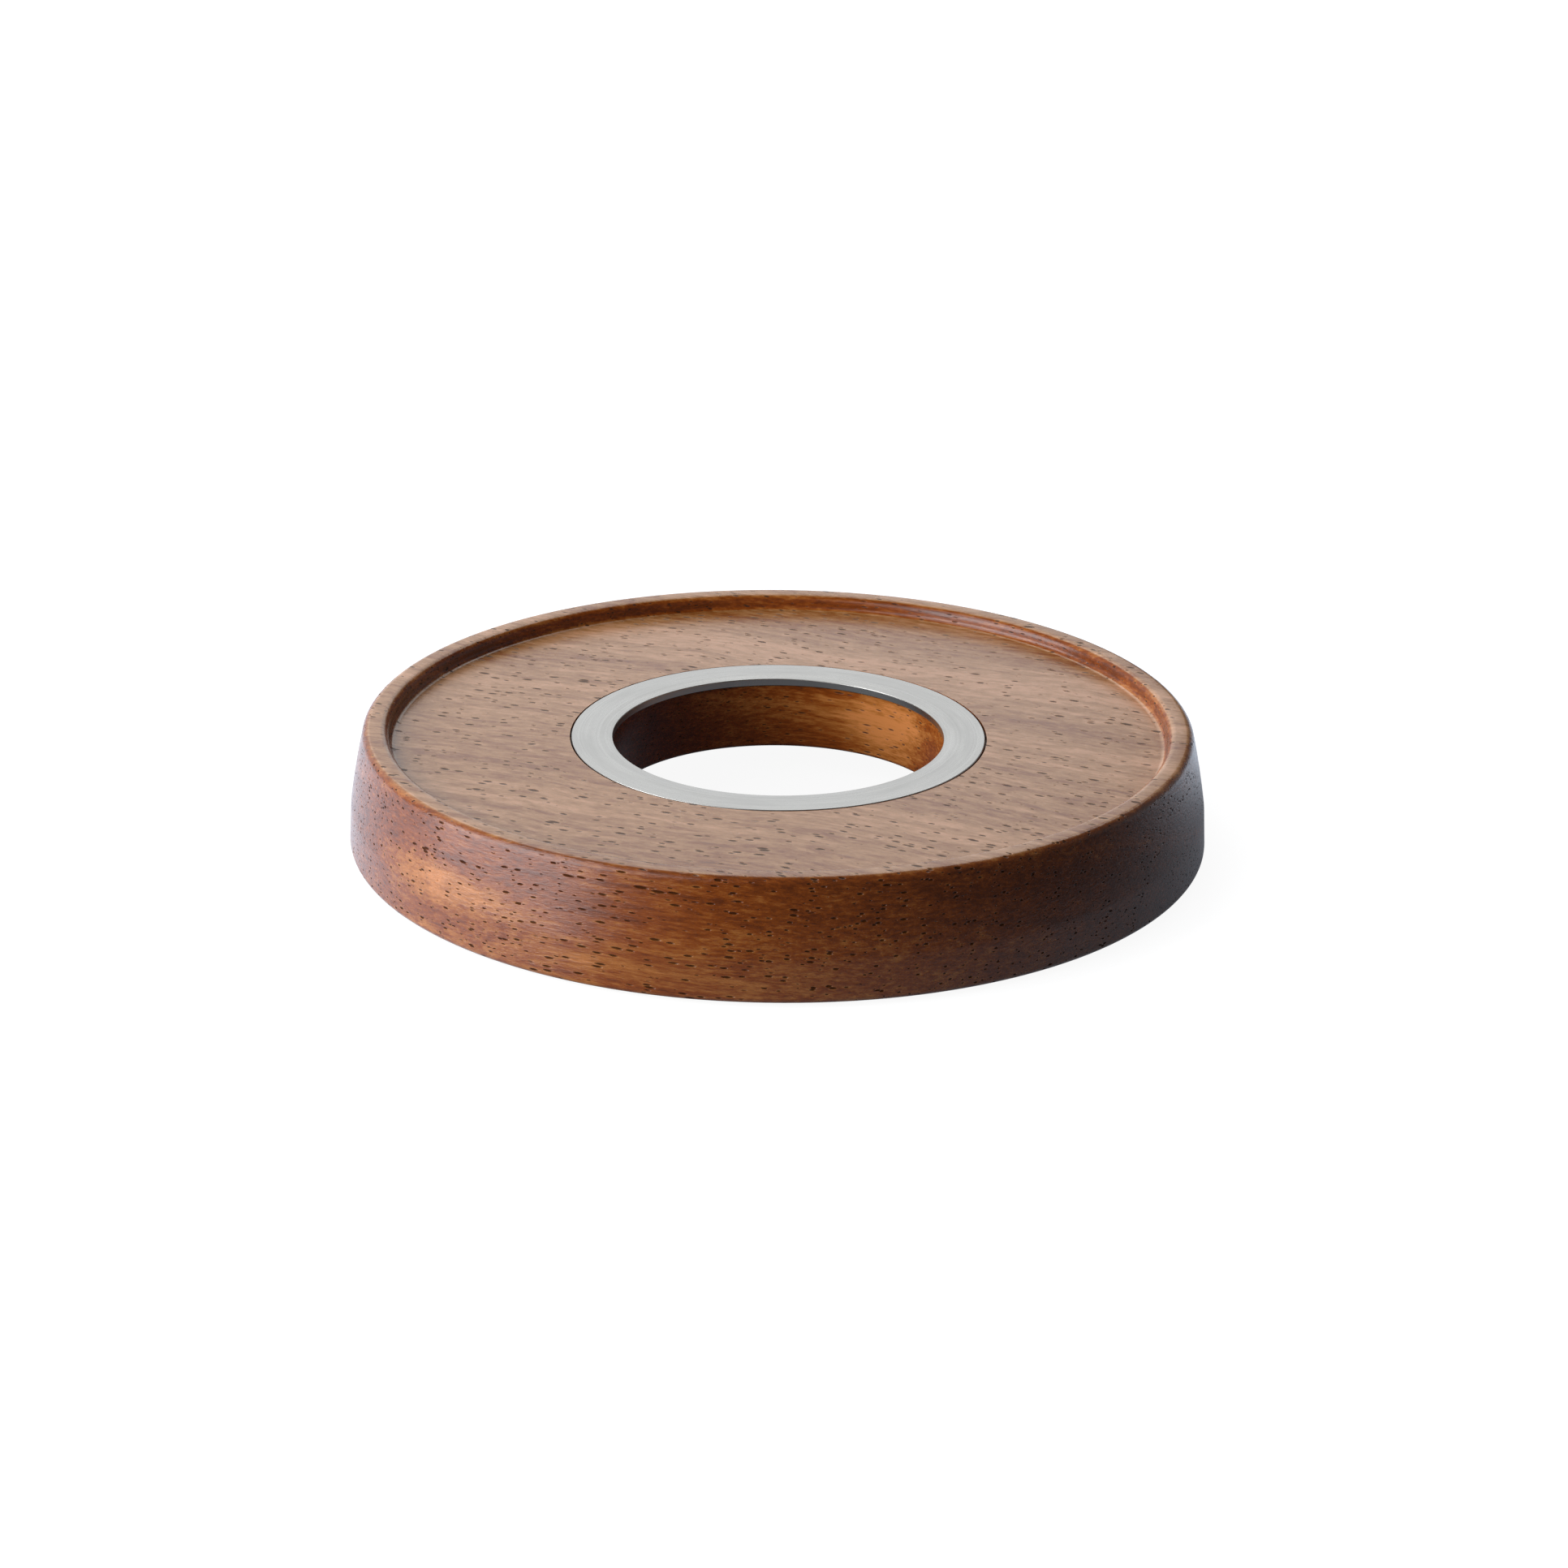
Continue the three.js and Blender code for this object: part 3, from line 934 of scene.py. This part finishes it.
# Painted shade: under the coaster the floor's own colour is darkened to CONTACT_SHADE, and its
# reflection to FLOOR_UNDER, on top of the real shadow
CONTACT = (90 * MM, 115 * MM)  # from the axis: where the floor under the coaster opens out
CONTACT_SHADE = 0.15
# Painted reflection: the floor glows in reflections only, with a painted pool of daylight, painted
# dark sides and a painted shadow: directions from the coaster, distances from the axis and
# strengths
DARK_SIDE = (0.61, -0.79, 0.0)  # in front on the right
POOL_SIDE = (-0.96, -0.28, 0.0)  # on the left, where the window's daylight falls
SHADOW_SIDE = (0.87, 0.50, 0.0)  # on the right, where the coaster's shadow lies
FLOOR_LIT, FLOOR_DARK, FLOOR_UNDER = 1.4, 0.04, 0.2
POOL = (160 * MM, 330 * MM)  # over which the pool of daylight grows to its full strength
POOL_LIT = 2.8
NEAR = (130 * MM, 180 * MM)  # over which the light close to the coaster fades on the dark side
NEAR_LIT = 0.42
SHADOW = (106 * MM, 155 * MM)  # the shadow's edge on the lit side and on SHADOW_SIDE


class COASTER_OT_stage(bpy.types.Operator):
    """Sets the floor, the soft lamps, the world and the camera"""

    bl_idname = "coaster.stage"
    bl_label = "Stage"

    def execute(self, context):
        scene = context.scene
        self.lay_floor(scene.coaster_colours)
        self.fill_world(scene)
        for lamp in LAMPS:
            self.hang_lamp(scene.coaster_colours, *lamp)
        self.stand_camera(scene)
        scene.view_settings.view_transform = "Standard"
        return {"FINISHED"}

    def lay_floor(self, colours):
        """A wide pale floor that looks white to the eye and still takes the coaster's shadow."""
        deselect_all()
        bpy.ops.mesh.primitive_circle_add(
            vertices=FLOOR_SEGMENTS, radius=FLOOR_RADIUS, fill_type="NGON",
        )
        floor = bpy.context.object
        floor.name = floor.data.name = "stage_floor"
        material, tree = new_material("pale_studio_floor")
        ray = add(tree, "ShaderNodeLightPath")
        place = add(tree, "ShaderNodeTexCoord").outputs["Object"]
        away = add(tree, "ShaderNodeVectorMath", {0: place}, operation="LENGTH").outputs["Value"]
        # Painted reflection: glossy rays see the floor glow
        reflected = add(tree, "ShaderNodeMath", {
            0: ray.outputs["Is Glossy Ray"], 1: self.painted_floor_reflection(tree, place, away),
        }, operation="MULTIPLY")
        lift = add(tree, "ShaderNodeMath", {
            0: ray.outputs["Is Camera Ray"], 1: FLOOR_WHITE, 2: reflected.outputs["Value"],
        }, operation="MULTIPLY_ADD")
        tint = add(tree, "ShaderNodeMix", {
            "Factor": ray.outputs["Is Camera Ray"], "A": colours.floor_sheen, "B": WHITE,
        }, data_type="RGBA")
        glow = add(tree, "ShaderNodeEmission", {
            "Color": tint.outputs["Result"], "Strength": lift.outputs["Value"],
        })
        # Painted shade: the floor's colour darkens under the coaster
        painted_contact_shade = add(tree, "ShaderNodeMapRange", {
            "Value": away, "From Min": CONTACT[0], "From Max": CONTACT[1],
            "To Min": CONTACT_SHADE, "To Max": 1.0,
        })
        shaded = add(tree, "ShaderNodeVectorMath", {
            0: colours.floor[:3], "Scale": painted_contact_shade.outputs["Result"],
        }, operation="SCALE")
        # Reflections don't see the floor's lit colour; they see the painted reflection instead
        unseen = add(tree, "ShaderNodeMix", {
            "Factor": ray.outputs["Is Glossy Ray"], "A": shaded.outputs["Vector"], "B": BLACK,
        }, data_type="RGBA")
        matt = add(tree, "ShaderNodeBsdfDiffuse", {"Color": unseen.outputs["Result"]})
        both = add(tree, "ShaderNodeAddShader", {
            0: glow.outputs["Emission"], 1: matt.outputs["BSDF"],
        })
        add(tree, "ShaderNodeOutputMaterial", {"Surface": both.outputs["Shader"]})
        dress(floor, material)

    def painted_floor_reflection(self, tree, place, away):
        """Painted reflection: how brightly the floor glows in reflections only, with a painted pool
        of daylight farther out on the left, painted dark in front on the right, and painted shade
        under the coaster and in its shadow.
        """
        heading = add(tree, "ShaderNodeVectorMath", {0: place}, operation="NORMALIZE")
        dark_side, pool_side, shadow_side = (
            add(tree, "ShaderNodeVectorMath", {
                0: heading.outputs["Vector"], 1: side,
            }, operation="DOT_PRODUCT").outputs["Value"]
            for side in (DARK_SIDE, POOL_SIDE, SHADOW_SIDE)
        )
        lit = add(tree, "ShaderNodeMapRange", {
            "Value": dark_side, "From Min": 0.1, "From Max": 0.65,
            "To Min": FLOOR_LIT, "To Max": FLOOR_DARK,
        }, interpolation_type="SMOOTHSTEP")
        far = add(tree, "ShaderNodeMapRange", {
            "Value": away, "From Min": POOL[0], "From Max": POOL[1], "To Max": POOL_LIT,
        })
        pool = add(tree, "ShaderNodeMapRange", {
            "Value": pool_side, "From Min": 0.90, "From Max": 0.96, "To Max": far.outputs["Result"],
        })
        pooled = add(tree, "ShaderNodeMath", {
            0: lit.outputs["Result"], 1: pool.outputs["Result"],
        }, operation="ADD")
        near = add(tree, "ShaderNodeMapRange", {
            "Value": away, "From Min": NEAR[0], "From Max": NEAR[1],
            "To Min": NEAR_LIT, "To Max": 0.0,
        })
        brightest = add(tree, "ShaderNodeMath", {
            0: pooled.outputs["Value"], 1: near.outputs["Result"],
        }, operation="MAXIMUM")
        shadow_edge = add(tree, "ShaderNodeMapRange", {
            "Value": shadow_side, "From Min": 0.2, "From Max": 0.75,
            "To Min": SHADOW[0], "To Max": SHADOW[1],
        })
        mirrored = add(tree, "ShaderNodeMapRange", {
            "Value": away, "From Min": CONTACT[0], "From Max": shadow_edge.outputs["Result"],
            "To Min": FLOOR_UNDER, "To Max": brightest.outputs["Value"],
        })
        return mirrored.outputs["Result"]

    def fill_world(self, scene):
        """A dim grey room, white where the camera looks straight at it."""
        world = bpy.data.worlds.new("dim_studio")
        world.use_nodes = True
        tree = world.node_tree
        tree.nodes.clear()
        ray = add(tree, "ShaderNodeLightPath")
        walls = add(tree, "ShaderNodeMapRange", {
            "Value": ray.outputs["Is Glossy Ray"], "To Min": ROOM_FILL, "To Max": ROOM_SEEN,
        })
        strength = add(tree, "ShaderNodeMapRange", {
            "Value": ray.outputs["Is Camera Ray"], "To Min": walls.outputs["Result"], "To Max": 1.0,
        })
        room = add(tree, "ShaderNodeBackground", {
            "Color": WHITE, "Strength": strength.outputs["Result"],
        })
        add(tree, "ShaderNodeOutputWorld", {"Surface": room.outputs["Background"]})
        scene.world = world

    def hang_lamp(self, colours, name, azimuth, elevation, distance, size, radiance):
        """A soft rectangular lamp that looks at the coaster and isn't seen by the camera."""
        turn, lift = math.radians(azimuth), math.radians(elevation)
        place = distance * Vector((
            math.cos(lift) * math.cos(turn), math.cos(lift) * math.sin(turn), math.sin(lift),
        ))
        lamp = bpy.data.lights.new(name, "AREA")
        lamp.shape = "RECTANGLE"
        lamp.size, lamp.size_y = size
        lamp.energy = radiance * math.pi * size[0] * size[1]
        lamp.color = colours.daylight[:3]
        holder = bpy.data.objects.new(name, lamp)
        facing = place.to_track_quat("Z", "Y").to_matrix().to_4x4()
        holder.matrix_world = Matrix.Translation(place) @ facing
        holder.visible_camera = False
        bpy.context.scene.collection.objects.link(holder)

    def stand_camera(self, scene):
        """The camera at the photograph's viewing angle, aimed by where the ring's middle lies."""
        focal = CAMERA_LENS / SENSOR_WIDTH * PICTURE_PIXELS
        right, up = AIM_OFFSET[0] / focal, AIM_OFFSET[1] / focal
        middle = Vector((0.0, 0.0, RING_BOX[1][2]))
        back = Vector((0.0, -math.cos(CAMERA_ELEVATION), math.sin(CAMERA_ELEVATION)))
        turns = (
            (math.pi / 2 - CAMERA_ELEVATION, "X"), (CAMERA_ROLL, "Z"),
            (math.atan(right), "Y"), (-math.atan(up / math.hypot(1.0, right)), "X"),
        )
        pose = Matrix.Translation(middle + CAMERA_DISTANCE * back)
        for angle, axis in turns:
            pose = pose @ Matrix.Rotation(angle, 4, axis)
        view = bpy.data.cameras.new("photo_camera")
        view.sensor_width = SENSOR_WIDTH
        view.lens = CAMERA_LENS
        view.clip_start, view.clip_end = 0.05, 50.0
        camera = bpy.data.objects.new("photo_camera", view)
        camera.matrix_world = pose
        scene.collection.objects.link(camera)
        scene.camera = camera


class COASTER_PT_sidebar(bpy.types.Panel):
    """Lists the coaster's pieces, sizes and colours"""

    bl_idname = "COASTER_PT_sidebar"
    bl_label = "Turned Wooden Coaster"
    bl_space_type = "VIEW_3D"
    bl_region_type = "UI"
    bl_category = "Coaster"

    def draw(self, context):
        layout = self.layout
        for operator in OPERATORS:
            layout.operator(operator.bl_idname)
        for group in (context.scene.coaster_sizes, context.scene.coaster_colours):
            column = layout.column(align=True)
            for name in group.__annotations__:
                column.prop(group, name)


OPERATORS = (
    COASTER_OT_wooden_body,
    COASTER_OT_steel_ring,
    COASTER_OT_ring_bond,
    COASTER_OT_rubber_feet,
    COASTER_OT_stage,
)
CLASSES = (CoasterSizes, CoasterColours, *OPERATORS, COASTER_PT_sidebar)


def register():
    for item in CLASSES:
        bpy.utils.register_class(item)
    bpy.types.Scene.coaster_sizes = bpy.props.PointerProperty(type=CoasterSizes)
    bpy.types.Scene.coaster_colours = bpy.props.PointerProperty(type=CoasterColours)


def unregister():
    del bpy.types.Scene.coaster_colours
    del bpy.types.Scene.coaster_sizes
    for item in reversed(CLASSES):
        bpy.utils.unregister_class(item)


def main():
    register()
    bpy.ops.coaster.wooden_body()
    bpy.ops.coaster.steel_ring()
    bpy.ops.coaster.ring_bond()
    bpy.ops.coaster.rubber_feet()
    bpy.ops.coaster.stage()


if __name__ == "__main__":
    main()
